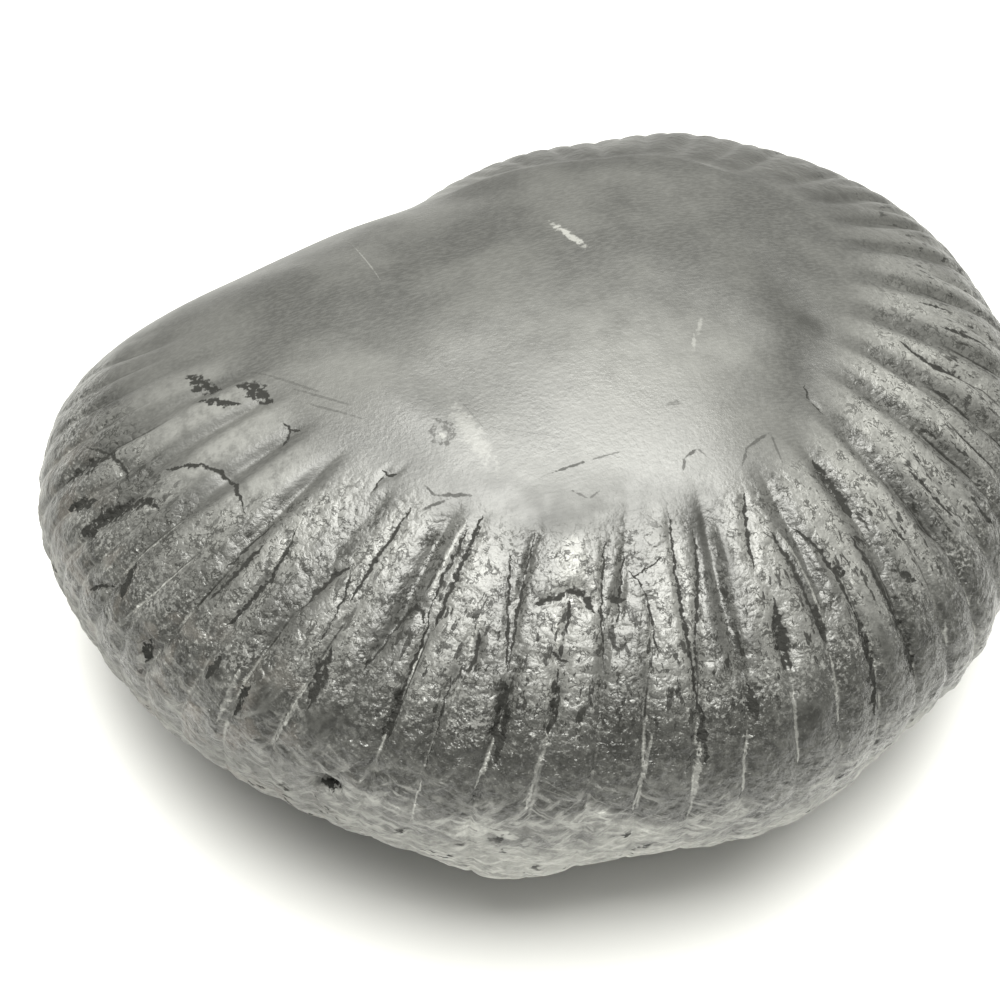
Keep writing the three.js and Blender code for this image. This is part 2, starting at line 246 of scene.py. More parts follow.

# Ragged chips and gaps, in the same way, painted dark as shade in them.
chips = {
    "high": ([(310.9, 39.4), (309.4, 38.4), (308.2, 38), (306.4, 37.8), (304.9, 37.2)], 0.85, 0.3),
    "highBelow": ([(311.6, 44.6), (310.6, 43), (309.2, 42), (307.2, 40.2)], 0.4, 0.3),
    "outer": ([(317, 44.8), (315.4, 43.8), (313.8, 42.8), (312, 41.4)], 0.65, 0.3),
    "farLeft": ([(312.2, 68.8), (311.8, 64.2), (311, 57)], 0.8, 0.3),
    "farLeftLow": ([(308.8, 69.8), (306.5, 63.5)], 0.7, 0.3),
    "furrow": ([(304.8, 70), (303.7, 62.5), (301.6, 56)], 1.0, 0.4),
    "slantLow": ([(297, 63.8), (295.6, 70.8)], 0.45, 0.3),
    "leftLow": ([(290.2, 72), (290, 77)], 0.45, 0.3),
    "lowLeft": ([(283, 66), (283.2, 71)], 0.5, 0.3),
    "lowLeftWide": ([(279, 68), (279.4, 75)], 0.5, 0.3),
    "middleLeft": ([(273.6, 58), (273, 67)], 0.8, 0.3),
    "middle": ([(265.6, 60), (265, 68)], 0.5, 0.3),
    "splitLow": ([(255.3, 57), (255.1, 62), (254.6, 68)], 0.6, 0.4),
    "stemLow": ([(250, 56.5), (250.3, 63)], 0.4, 0.3),
    "wedgeLow": ([(235.2, 61), (235, 71)], 0.45, 0.3),
    "right": ([(229.7, 59.5), (229.3, 65)], 0.45, 0.3),
    "rightHigh": ([(224.2, 52), (224.8, 58.5)], 0.6, 0.4),
    "rightRim": ([(218.9, 52), (219, 58)], 0.45, 0.3),
    "rightEdge": ([(213.5, 57), (214, 64), (215.2, 75)], 0.6, 0.4),
    "deepRight": ([(208.3, 57), (208, 75)], 0.7, 0.4),
    "frayedRight": ([(205.5, 36), (205.6, 45)], 0.5, 0.2),
    "rimPit": ([(270.2, 80), (268.2, 81.5)], 0.8, 0.2),
    "rightBrow": ([(208, 47.5), (206.6, 49.5)], 0.4, 0.2),
    "rightNotch": ([(214.2, 49.4), (212.6, 50.8)], 0.4, 0.2),
    "farNotch": ([(201.5, 50), (200, 52.5)], 0.4, 0.2),
    "farNotchLow": ([(204.5, 56), (203, 58.5)], 0.4, 0.2),
}

# Pale veins, and pale crests beside the cracks painted as highlight, in the same way.
veinsAndLitCrests = {
    "brow": ([(251.2, 37.5), (250.5, 41.5), (250.1, 45.3)], 1.1, -0.1),
    "wedge": ([(235.4, 67), (235.8, 73), (236.4, 83)], 0.28, -0.15),
    "rightOfWedge": ([(230.4, 66.5), (231, 72), (231.2, 79)], 0.2, -0.15),
    "fleck": ([(231.1, 67.4), (230.1, 67.6)], 0.2, -0.15),
    "bowRight": ([(240.2, 65), (240.9, 71), (241.8, 79)], 0.24, -0.15),
    "stemLow": ([(250.2, 61.5), (250.8, 68), (251.5, 77)], 0.28, -0.15),
    "stem": ([(251.7, 46.5), (251.1, 49.5), (250.6, 52)], 0.2, -0.3),
    "split": ([(255.2, 62), (255.8, 68), (256.2, 74)], 0.14, -0.1),
    "nick": ([(260.1, 47.8), (260.1, 52.5)], 0.2, -0.3),
    "nickFoot": ([(261, 74), (261.4, 84)], 0.2, -0.15),
    "gap": ([(266.7, 37.5), (266.8, 42), (266.5, 47.5)], 0.24, -0.4),
    "arch": ([(265.6, 50), (265, 55), (265, 59)], 0.12, -0.2),
    "bowLeft": ([(286.4, 43.5), (285.3, 46), (284.5, 49), (284.3, 53)], 0.15, -0.4),
    "left": ([(292.2, 57.5), (292.9, 64), (294, 72.5)], 0.18, -0.2),
    "leftFar": ([(296.6, 54), (296.8, 60), (297.4, 68)], 0.12, -0.15),
    "middleLeft": ([(280.5, 66), (280.4, 72), (280.6, 78)], 0.26, -0.15),
    "middle": ([(274.1, 64), (274.4, 70), (274.8, 76)], 0.26, -0.15),
    "rightSplit": ([(224.7, 62), (225.2, 69), (225.3, 76)], 0.16, -0.15),
    "rightRim": ([(219.9, 41), (218.9, 45), (218.4, 50), (218.5, 56)], 0.16, -0.4),
    "rightLow": ([(219.1, 60), (219.6, 66), (220.1, 72)], 0.26, -0.15),
    "rightEdge": ([(213, 60), (213.6, 67), (214.7, 73.5)], 0.2, -0.15),
    "farRight": ([(200.9, 69), (202, 76)], 0.2, -0.15),
}

# Marks that are only tone on the worn cap: ends in millimetres from the coil axis, half width, and
# tone, above 0 for a pale scratch and below it for a dark hairline.
capMarks = [
    ((-6.3, 7.4), (-3.5, 3.4), 0.42, 0.3),
    ((-26.7, 8.9), (-23.1, 0.3), 0.07, 0.12),
    ((6.6, -6.7), (6.1, -8.6), 0.24, 0.12),
    ((5.7, -9.0), (5.5, -10.6), 0.2, 0.12),
    ((-15.4, -17.7), (-12.5, -22.9), 0.9, 0.1),
    ((-16.5, -20.3), (-16.3, -20.3), 0.3, 0.15),
    ((-7.6, -24.3), (-4.4, -23.1), 0.14, -0.8),
    ((-4.4, -23.1), (-1.4, -22.1), 0.1, -0.6),
    ((-5.7, -26.0), (-4.5, -26.7), 0.14, -0.7),
    ((-4.5, -26.7), (-3.7, -26.0), 0.14, -0.7),
    ((3.3, -24.0), (3.5, -22.7), 0.15, -0.7),
    ((3.5, -22.7), (4.6, -21.8), 0.18, -0.8),
    ((4.6, -21.8), (5.3, -22.4), 0.14, -0.6),
    ((8.3, -23.0), (8.9, -21.3), 0.14, -0.6),
    ((8.9, -21.3), (11.1, -19.4), 0.14, -0.6),
    ((11.1, -19.4), (11.8, -22.6), 0.12, -0.5),
    ((-17.7, -25.0), (-16.9, -25.9), 0.16, -0.8),
    ((-16.9, -25.9), (-14.2, -26.1), 0.2, -0.8),
    ((-17.8, -27.1), (-15.9, -26.4), 0.18, -0.8),
    ((2.6, -17.4), (3.5, -17.0), 0.3, -0.4),
    ((-12.9, -19.5), (-6.5, -20.8), 0.07, -0.3),
    ((-15.7, -15.5), (-12.7, -20.1), 0.07, -0.3),
    ((-34.1, -10.6), (-26.3, -15.0), 0.14, -0.35),
    ((-29.9, -13.6), (-24.4, -16.4), 0.14, -0.4),
    ((-29.0, -15.3), (-23.0, -18.1), 0.12, -0.4),
]
ringedPit = {"middle": (-16.6, -20.0), "radius": 0.9, "line": 0.4}


def smooth(values, start, end):
    t = np.clip((values - start) / (end - start), 0.0, 1.0)
    return t * t * (3.0 - 2.0 * t)


def skinField(name, reads):
    field = 1.0
    for what, rises, falls, outside, inside in skinFields[name]:
        within = smooth(reads[what], *rises) if rises else 1.0
        if falls:
            within = within * (1 - smooth(reads[what], *falls))
        field = field * (outside + (inside - outside) * within)
    return field


def along(values, growth):  # a closed curve through equally spaced values
    values = np.asarray(values, float)
    place = (growth % 360.0) / 360.0 * len(values)
    index = np.floor(place).astype(int)
    t = place - index
    before, start, end, after = (values[(index + k) % len(values)] for k in (-1, 0, 1, 2))
    return start + 0.5 * t * (end - before + t * (2 * before - 5 * start + 4 * end - after
                                                  + t * (3 * (start - end) + after - before)))


def skinPoints(growth, tilt):  # the smooth outline and its outward direction, in millimetres
    form = stoneForm
    angle = np.radians(form["backAngle"] - growth)
    slope = np.radians(tilt)
    radius = along(form["rimRadii"], growth)
    above = tilt < 90
    rise = np.where(above, form["topHeight"] - form["rimHeight"], form["rimHeight"] - form["lowestPoint"])
    power = 2 + form["frontFullness"] * skinField("frontFull", {"growth": growth}) * above
    out = np.clip(np.sin(slope), 0, 1)
    up = (1 - out ** power) ** (1 / power)
    side = np.where(above, 1.0, -1.0)
    points = np.stack([radius * out * np.cos(angle), radius * out * np.sin(angle),
                       form["rimHeight"] + side * rise * up], -1)
    steep, flat = out ** (power - 1) / radius, side * up ** (power - 1) / rise
    outward = np.stack([steep * np.cos(angle), steep * np.sin(angle), flat], -1)
    return points, outward / np.linalg.norm(outward, axis=-1, keepdims=True)


def swell(p):  # slow swells of a worn stone
    x, y, z = p[:, 0], p[:, 1], p[:, 2]
    return (0.1 * np.sin(0.21 * x + 0.13 * y + 1.1) * np.cos(0.17 * y - 0.2 * z)
            + 0.03 * np.sin(0.43 * x - 0.37 * y + 0.3 * z + 0.6))


def pathReach(points, path):  # signed distance from a path on the skin, and the share of the way along
    corners = skinPoints(np.array([g for g, t in path], float), np.array([t for g, t in path], float))[0]
    best = np.full(len(points), 1e9)
    side = np.ones(len(points))
    share = np.zeros(len(points))
    lengths = np.linalg.norm(np.diff(corners, axis=0), axis=1)
    walked = 0.0
    for a, b, length in zip(corners[:-1], corners[1:], lengths):
        line = (b - a) / length
        t = np.clip((points - a) @ line, 0, length)
        gap = points - a - t[:, None] * line
        distance = np.linalg.norm(gap, axis=1)
        nearer = distance < best
        best = np.where(nearer, distance, best)
        across = np.cross(line, points / np.linalg.norm(points, axis=1, keepdims=True))
        side = np.where(nearer, np.sign((gap * across).sum(1)), side)
        share = np.where(nearer, (walked + t) / lengths.sum(), share)
        walked += length
    return best * side, share


def pathLayers(points, paths, name):  # distance and half width of the nearest path, and the depth carved
    layers = []  # paths that come near each other lie in different layers
    carved = np.zeros(len(points))
    for path, halfWidth, depth in paths.values():
        reach, share = pathReach(points, path)
        past = np.where(np.abs(share - 0.5) > 0.4999, np.abs(reach), 0)  # how far beyond an end
        taper = np.clip(4 * share * (1 - share), carving["endShare"], 1) ** 0.5
        taper = taper * np.exp(-(past / carving["endFade"]) ** 2)
        profile = np.exp(-(reach / (carving["softness"] + halfWidth)) ** 2)
        carved += carving["share"] * depth * taper * profile
        near = np.abs(reach) < carving["reach"] + halfWidth
        free = [layer for layer in layers if not (near & (layer["width"] > 0)).any()]
        if not free:
            free = [{"across": np.full(len(points), carving["far"]), "width": np.zeros(len(points))}]
            layers += free
        layer = free[0]
        nearer = np.abs(reach) < np.abs(layer["across"])
        layer["across"] = np.where(nearer, reach, layer["across"])
        layer["width"] = np.where(nearer, halfWidth * taper * near, layer["width"])
    print(name, "in", len(layers), "layers")
    fields = {}
    for number, layer in enumerate(layers):
        fields[f"{name}Across{number}"] = layer["across"]
        fields[f"{name}Width{number}"] = layer["width"]
    return fields, carved


def spots(places, growth, tilt):  # rounded spots on the skin
    return sum(strength * np.exp(-((growth - middle) / wide) ** 2 - ((tilt - height) / tall) ** 2)
               for middle, height, wide, tall, strength in places.values())


def skinRings():  # each ring is its columns' growth and tilt
    form, skin = stoneForm, stoneSkin
    dense = {"growth": np.linspace(0, 360, 3601)}
    weight = skinField("frontColumns", dense) - skinField("sideColumns", dense)
    turned = np.concatenate([[0], np.cumsum((weight[1:] + weight[:-1]) / 2)])
    columns = np.arange(skin["columns"]) / skin["columns"] * turned[-1]
    columnGrowth = np.interp(columns, turned, dense["growth"])

    def thinned(share, strides):
        return columnGrowth[::next(stride for limit, stride in strides if share < limit)]

    rings = []
    for row in range(1, skin["capRows"] + 1):
        share = row / skin["capRows"]
        growth = thinned(share, skin["capStrides"])
        rings.append((growth, share * along(form["capEdges"], growth)))
    edge = along(form["capEdges"], columnGrowth)
    for row in range(1, skin["flankRows"] + 1):
        share = row / skin["flankRows"]
        rings.append((columnGrowth, edge + (skin["flankEnd"] - edge) * (share ** 1.05)))
    baseTilt = math.degrees(math.acos(-form["rimHeight"] / (form["rimHeight"] - form["lowestPoint"])))
    for row in range(1, skin["underRows"] + 1):
        share = row / skin["underRows"]
        growth = thinned(share, skin["underStrides"])
        tilt = skin["flankEnd"] + (baseTilt - skin["flankEnd"]) * share
        rings.append((growth, np.full(len(growth), tilt)))
    return rings


def skinFaces(rings, starts, pole):  # the top is point 0, and the pole below is the last point
    count = len(rings[0][0])
    faces = [(0, starts[0] + i, starts[0] + (i + 1) % count) for i in range(count)]
    for ring, ((upper, _), (lower, _)) in enumerate(zip(rings[:-1], rings[1:])):
        a, b, n, m = starts[ring], starts[ring + 1], len(upper), len(lower)
        most = max(n, m)  # the longer ring has a whole number of columns for each of the other's
        for i in range(most):
            corners = (a + i * n // most, b + i * m // most,
                       b + (i + 1) * m // most % m, a + (i + 1) * n // most % n)
            faces.append(tuple(dict.fromkeys(corners)))  # a triangle where two of them are one
    last, count = starts[-2], len(rings[-1][0])
    return faces + [(pole, last + (i + 1) % count, last + i) for i in range(count)]


pathCounts = {}  # how many layers the cracks, chips and veins take


def makeSkin():
    form, plan = stoneForm, ribPlan
    rings = skinRings()
    growth = np.concatenate([[0.0]] + [g for g, t in rings] + [[0.0]])
    tilt = np.concatenate([[0.0]] + [t for g, t in rings] + [[180.0]])
    points, outward = skinPoints(growth, tilt)
    edge = along(form["capEdges"], growth)

    wander = 0.2 * np.sin(0.13 * tilt + 0.35 * growth) + 0.12 * np.sin(0.31 * tilt - 0.9 * growth + 2)
    swept = growth + wander - plan["sweep"] * (smooth(tilt, 40, 90) - 0.5)
    valleys = np.array(plan["valleys"], float)
    early = valleys[valleys < plan["frontStart"]]
    lines = np.sort(np.concatenate([early, (early[1:] + early[:-1]) / 2, plan["frontLines"]]))
    perDegree = np.radians(1) * np.linalg.norm(points[:, :2], axis=1)
    upperPhase = np.interp(growth + wander, valleys, np.arange(len(valleys)))
    lowerPhase = np.interp(swept, lines, np.arange(len(lines)))
    upperGap = np.abs((growth + wander)[:, None] - valleys).min(1) * perDegree
    valleyShare = np.interp(growth + wander, valleys, plan["valleyShares"])
    lowerGap = np.abs(swept[:, None] - lines).min(1) * perDegree
    darker = spots(shades, growth, tilt)
    valley = innerValley
    reach, share = pathReach(points, valley["path"])
    leftDelay = roughLeft["delay"] * smooth(growth, *roughLeft["span"])
    reads = {"growth": growth, "tilt": tilt, "pastEdge": tilt - edge, "roughEdge": tilt - edge - leftDelay,
             "share": share}
    flaky = skinField("flaky", reads) * (1 - 0.8 * np.clip(darker, 0, 1))
    groove = np.exp(-(reach / valley["halfWidth"]) ** 2) * skinField("groove", reads)
    worn = skinField("worn", reads)

    wear = spots(hollows, growth, tilt) - swell(points)
    wear += valley["depth"] * groove - form["ledge"] * skinField("ledge", reads)
    pathFields = {}
    for name, paths in {"crack": cracks, "chip": chips, "veinAndCrest": veinsAndLitCrests}.items():
        fields, depth = pathLayers(points, paths, name)
        pathCounts[name] = len(fields) // 2
        pathFields.update(fields)
        wear += depth

    # Painted shade: the groove's shade, the dark patches, the dimmed cap edge and the ribs behind the back
    # edge.
    shaded = np.exp(-((reach + valley["shadeShift"]) / valley["shadeWidth"]) ** 2)
    darkest = np.exp(-((growth - valley["darkestAt"]) / valley["darkestSpan"]) ** 2)
    shaded *= valley["plainShade"] + (1 - valley["plainShade"]) * darkest
    shaded *= skinField("grooveShade", reads)
    shaded += darker + spots(dullAndShaded, growth, tilt) + skinField("backShade", reads)
    # A painted highlight where the lamp catches the cap, shown paler in the finish.
    x, y = points[:, 0], points[:, 1]
    bright = sum(strength * np.exp(-((x - atX) / wide) ** 2 - ((y - atY) / tall) ** 2)
                 for atX, atY, wide, tall, strength in capLights.values())
    bright *= (tilt < 60) * (1 - groove)

    points *= mm
    points[-1] = 0
    starts = 1 + np.concatenate([[0], np.cumsum([len(g) for g, t in rings])]).astype(int)
    points[starts[-2]:starts[-1], 2] = 0
    mesh = bpy.data.meshes.new("stoneSkin")
    mesh.from_pydata(points.tolist(), [], skinFaces(rings, starts, len(points) - 1))
    layers = {"tilt": tilt, "growth": growth, "flaky": flaky, "worn": worn, "wear": wear * worn * mm,
              "upperPhase": upperPhase, "lowerPhase": lowerPhase,
              "upperGap": upperGap * mm, "lowerGap": lowerGap * mm, "valleyShare": valleyShare,
              "bright": bright, "shaded": shaded, **pathFields}
    for name in ("ribbed", "dustAndCrestSheen", "paleBand", "rusty"):
        layers[name] = skinField(name, reads)
    for name, values in layers.items():
        mesh.attributes.new(name, "FLOAT", "POINT").data.foreach_set("value", values.astype(np.float32))
    mesh.attributes.new("outward", "FLOAT_VECTOR", "POINT").data.foreach_set(
        "vector", outward.astype(np.float32).ravel())
    mesh.update()
    return mesh


class Wiring:  # short calls for a node tree
    def __init__(self, tree):
        self.tree = tree

    def add(self, kind, **settings):
        node = self.tree.nodes.new(kind)
        for name, value in settings.items():
            setattr(node, name, value)
        return node

    def feed(self, socket, value):
        if isinstance(value, bpy.types.NodeSocket):
            self.tree.links.new(value, socket)
        elif value is not None:
            socket.default_value = value

    def math(self, operation, a, b=None, c=None, clamp=False):
        node = self.add("ShaderNodeMath", operation=operation, use_clamp=clamp)
        for socket, value in zip(node.inputs, (a, b, c)):
            self.feed(socket, value)
        return node.outputs[0]

    def ramp(self, value, start, end, low=0.0, high=1.0):  # a smooth step
        node = self.add("ShaderNodeMapRange", interpolation_type="SMOOTHSTEP")
        for socket, item in zip(node.inputs, (value, start, end, low, high)):
            self.feed(socket, item)
        return node.outputs[0]

    def chain(self, operation, first, *others):
        return self.math(operation, first, self.chain(operation, *others)) if others else first

    def times(self, *values):
        return self.chain("MULTIPLY", *values)

    def plus(self, *values):
        return self.chain("ADD", *values)

    def most(self, *values):
        return self.chain("MAXIMUM", *values)

    def rest(self, value):  # what is left of 1
        return self.math("SUBTRACT", 1.0, value, clamp=True)

    def mix(self, factor, a, b):
        return self.plus(self.times(a, self.rest(factor)), self.times(b, factor))

    def blend(self, factor, a, b):  # of two colours
        node = self.add("ShaderNodeMix", data_type="RGBA")
        for socket, value in zip((node.inputs["Factor"], *node.inputs[6:8]), (factor, a, b)):
            self.feed(socket, value)
        return node.outputs[2]


# Soft steps of the relief: a span of degrees, and the values before and after it if not 0 and 1.
reliefSteps = {
    "forkRight": (185, 215, -8, 0),     # by growth, the forks lie higher at the right
    "crownFront": (190, 225, 1, 0.5),   # by growth, the front ribs are flatter
    "narrow": (42, 56),           # by tilt, as the steps below
    "crownFades": (60, 92, 1, 0.6),
    "valleysStart": (31, 42),
    "valleysEnd": (50, 62, 1, 0),
    "linesFade": (66, 90, 1, 0.4),
    "rougherBelow": (44, 85, 0.5, 2.4),
}


def ribReliefTree():
    tree = bpy.data.node_groups.new("ribRelief", "GeometryNodeTree")
    face = tree.interface
    face.new_socket("Geometry", in_out="INPUT", socket_type="NodeSocketGeometry")
    for name, value in ribs.items():
        kind = "NodeSocketInt" if isinstance(value, int) else "NodeSocketFloat"
        face.new_socket(name, in_out="INPUT", socket_type=kind).default_value = value
    face.new_socket("Stone", in_out="INPUT", socket_type="NodeSocketMaterial")
    face.new_socket("Geometry", in_out="OUTPUT", socket_type="NodeSocketGeometry")
    w = Wiring(tree)
    given = w.add("NodeGroupInput").outputs

    def named(name, kind="FLOAT"):
        node = w.add("GeometryNodeInputNamedAttribute", data_type=kind)
        node.inputs["Name"].default_value = name
        return node.outputs["Attribute"]

    def chance(index, salt, least, most):  # a fixed draw for each rib
        node = w.add("FunctionNodeRandomValue", data_type="FLOAT")
        w.feed(node.inputs[2], least)
        w.feed(node.inputs[3], most)
        w.feed(node.inputs["ID"], index)
        w.feed(node.inputs["Seed"], w.math("ADD", given["Seed"], salt))
        return node.outputs[1]

    def trough(gap, width):  # 1 on the line, falling to 0 beside it
        share = w.math("DIVIDE", gap, width)
        return w.math("EXPONENT", w.times(share, share, -1.0))

    def crown(across):  # a low arch from line to line
        return w.math("POWER", w.math("SINE", w.times(w.math("FRACT", across), math.pi)), 0.7)

    def step(value, name):
        return w.ramp(value, *reliefSteps[name])

    tilt, growth, ribbed = named("tilt"), named("growth"), named("ribbed")
    upperPhase, lowerPhase = named("upperPhase"), named("lowerPhase")
    times = w.times
    line = w.math("ROUND", lowerPhase)  # the number of the nearest one
    forkTilt = w.math("ADD", given["Fork Tilt"], chance(line, 1, -3.0, 5.0))
    forkTilt = w.math("ADD", forkTilt, step(growth, "forkRight"))
    fork = w.ramp(tilt, forkTilt, w.math("ADD", forkTilt, given["Fork Spread"]))
    arch = w.mix(step(tilt, "narrow"), crown(upperPhase), crown(lowerPhase))
    arch = times(w.math("SUBTRACT", arch, 1.0), given["Crown"], step(tilt, "crownFades"),
                 step(growth, "crownFront"))
    valley = times(trough(named("upperGap"), given["Valley Width"]), given["Valley Depth"],
                   named("valleyShare"), step(tilt, "valleysStart"), step(tilt, "valleysEnd"))
    strength = times(fork, chance(line, 3, 0.4, 1.3), step(tilt, "linesFade"))
    narrow = times(trough(named("lowerGap"), given["Line Width"]), given["Line Depth"], strength)
    relief = times(w.math("SUBTRACT", w.math("SUBTRACT", arch, valley), narrow), ribbed)

    noise = w.add("ShaderNodeTexNoise", noise_dimensions="3D")
    scaled = w.add("ShaderNodeVectorMath", operation="SCALE")
    w.feed(scaled.inputs[0], w.add("GeometryNodeInputPosition").outputs[0])
    w.feed(scaled.inputs["Scale"], w.math("DIVIDE", 1.0, given["Crinkle Size"]))
    w.feed(noise.inputs["Vector"], scaled.outputs[0])
    w.feed(noise.inputs["Scale"], 1.0)
    w.feed(noise.inputs["Detail"], 4.0)
    w.feed(noise.inputs["Roughness"], 0.6)
    rough = w.plus(times(named("flaky"), step(tilt, "rougherBelow")), 0.05)
    crinkle = times(w.math("SUBTRACT", noise.outputs[0], 0.62), given["Crinkle Depth"], rough)

    rise = times(w.math("SUBTRACT", w.plus(relief, crinkle), named("wear")), named("worn"))
    push = w.add("ShaderNodeVectorMath", operation="SCALE")
    w.feed(push.inputs[0], named("outward", "FLOAT_VECTOR"))
    w.feed(push.inputs["Scale"], rise)
    place = w.add("GeometryNodeSetPosition")
    w.feed(place.inputs["Geometry"], given["Geometry"])
    w.feed(place.inputs["Offset"], push.outputs[0])
    keep = w.add("GeometryNodeStoreNamedAttribute", data_type="FLOAT", domain="POINT")  # for the finish
    w.feed(keep.inputs["Geometry"], place.outputs[0])
    keep.inputs["Name"].default_value = "lineStrength"
    w.feed(keep.inputs["Value"], times(strength, ribbed))
    plain = w.add("GeometryNodeRealizeInstances")
    w.feed(plain.inputs[0], keep.outputs[0])
    dress = w.add("GeometryNodeSetMaterial")
    w.feed(dress.inputs["Geometry"], plain.outputs[0])
    w.feed(dress.inputs["Material"], given["Stone"])
    w.feed(w.add("NodeGroupOutput").inputs[0], dress.outputs[0])
    return tree


stoneFinish = {
    "cap": ((0.05, 0.05, 0.047, 1.0), (0.08, 0.08, 0.075, 1.0)),  # the worn cap, dark to grey
    "flank": ((0.048, 0.048, 0.045, 1.0), (0.11, 0.11, 0.103, 1.0)),  # the glossy ribbed flank
    "dustAndSheen": (0.26, 0.26, 0.247, 1.0),   # dry bloom on the right-hand ribs and pale scratches on the cap, also the pale tone of the painted highlights on the cap and the rib crests
    "paintedGlint": (0.22, 0.22, 0.21, 1.0),   # pale grains: a painted glint where facets would catch the light
    "chalkAndPaintedLight": (0.64, 0.64, 0.605, 1.0),  # pale veins, fibres and the band under the rim; the band is also painted paler for the table's light reflected in it, and the pale crests are painted highlight
    "rust": (0.26, 0.232, 0.205, 1.0),
    # painted shade in cracks, chips, lines, holes and wrinkles; also the dark mottles and the cap's dark
    # hairlines
    "shadeAndMarkTone": (0.024, 0.024, 0.022, 1.0),
    "capRoughness": 0.4,
    "flankRoughness": 0.24,
    "chalkRoughness": 0.75,
    "ior": 1.6,
    "grainSize": 0.4,           # millimetres, as the sizes below
    "flakeSize": 1.2,
    "facetSize": 1.5,
    "mottleSize": 0.38,
    "patchSize": 3.0,
    "blotchSize": 1.0,
    "raggedSize": 0.45,
    "cloudSize": 9.0,
    "wrinkleSize": 1.4,
    "fineWrinkleSize": 0.63,
    "fibreSize": 0.55,
    "brushSize": 0.22,
    "swaySize": 2.6,
    "sway": 34.0,               # degrees that the chalky band's upper edge may wander
    "holeSize": 0.8,
    "lineSpacing": 4.5,
    "lineWidth": 0.224,
    "thinPath": (0.02, 0.06),   # half widths where a path starts to show and shows in full
    "strokeSize": (1.0, 3.4),   # degrees of growth and tilt
}

# Edges of the paths: how far they wander, how blotchy and how ragged they are, where they fade.
pathEdges = {
    "crack": (0.8, 0, 2.6, 0.35, 1.05),
    "chip": (1.2, 3.0, 2.0, 0.6, 1.2),
    "veinAndCrest": (0.4, 0, 2.6, 0.3, 1.2),
}

# Soft steps of the finish: a span, and the values before and after it if they aren't 0 and 1.
finishSteps = {
    "topOnly": (40, 50, 1, 0),          # by tilt, as the steps down to veins
    "flankStarts": (48, 66),
    "glossStarts": (52, 68),
    "wrinklesEnd": (62, 70, 1, 0),
    "strokesStart": (40, 46),
    "strokesEnd": (62, 72, 1, 0),
    "mottleLevel": (44, 66, 0.3, 0.6),
    "darkStarts": (52, 64),
    "darkEnds": (66, 80, 1, 0),
    "glintsStart": (53, 64),
    "glintsEnd": (72, 84, 1, 0),
    "fibresStart": (66, 82),
    "bandStarts": (76, 92),
    "holesStart": (74, 82),
    "holesEnd": (100, 112, 1, 0),
    "flakes": (54, 70, 0.1, 0.36),
    "creases": (48, 66, 0.1, 0.18),
    "linesPale": (60, 68),
    "linesDark": (60, 66, 0.9, 0.2),
    "veinsAndLitCrests": (46, 60, 0.16, 0.38),
    "strokesLeft": (262, 282, 1, 0.6),  # by growth
    "mottleLeft": (262, 282, 0, -4),    # the mottled zone lies lower at the left
    "chalkRight": (220, 250, -7, 0),    # and the chalk at the right
    "strokeClusters": (0.45, 0.6, 0, 0.07),  # by the large patches
    "glintClusters": (0.5, 0.62, 0.1, 0.8),
    "fibreClusters": (0.3, 0.6, 0.25, 1),
    "somewhere": (0.45, 0.6),
    "rustPatches": (0.5, 0.66),
    "lightPatches": (0.2, 0.7, 0.2, 0.34),
    "shadePatches": (0.35, 0.65, 0.5, 0.85),
    "torn": (0.08, 0.16, 1, 0.3),       # by other noises and fields
    "wrinklePatches": (-0.06, 0.06),
    "strokes": (0.35, 0.4, 1, 0),
    "strokesOnFlank": (0.2, 0.6),
    "glintEdge": (-0.09, 0.09),
    "glintsOnRibs": (0.1, 0.5),
    "fibres": (0.48, 0.64),
    "crossFibres": (0.5, 0.66),
    "fibresInChalk": (0.3, 0.65, 0.15, 1),
    "holes": (0.6, 0.67),
    "capClouds": (0.35, 0.7),
    "brushed": (0.35, 0.7, 0, 0.13),
    "flankBlotches": (-0.15, 0.2),
    "onRibs": (0, 0.3),
    "crests": (0.45, 0.95, 0.1, 1),
    "dustSheenBlotches": (-0.2, 0.12, 0.4, 1),
    "bandStrands": (0, 1, 0.72, 1),
    "bandBlotches": (-0.2, 0.12, 0.6, 1),
    "specular": (0, 1, 0.5, 0.1),
}


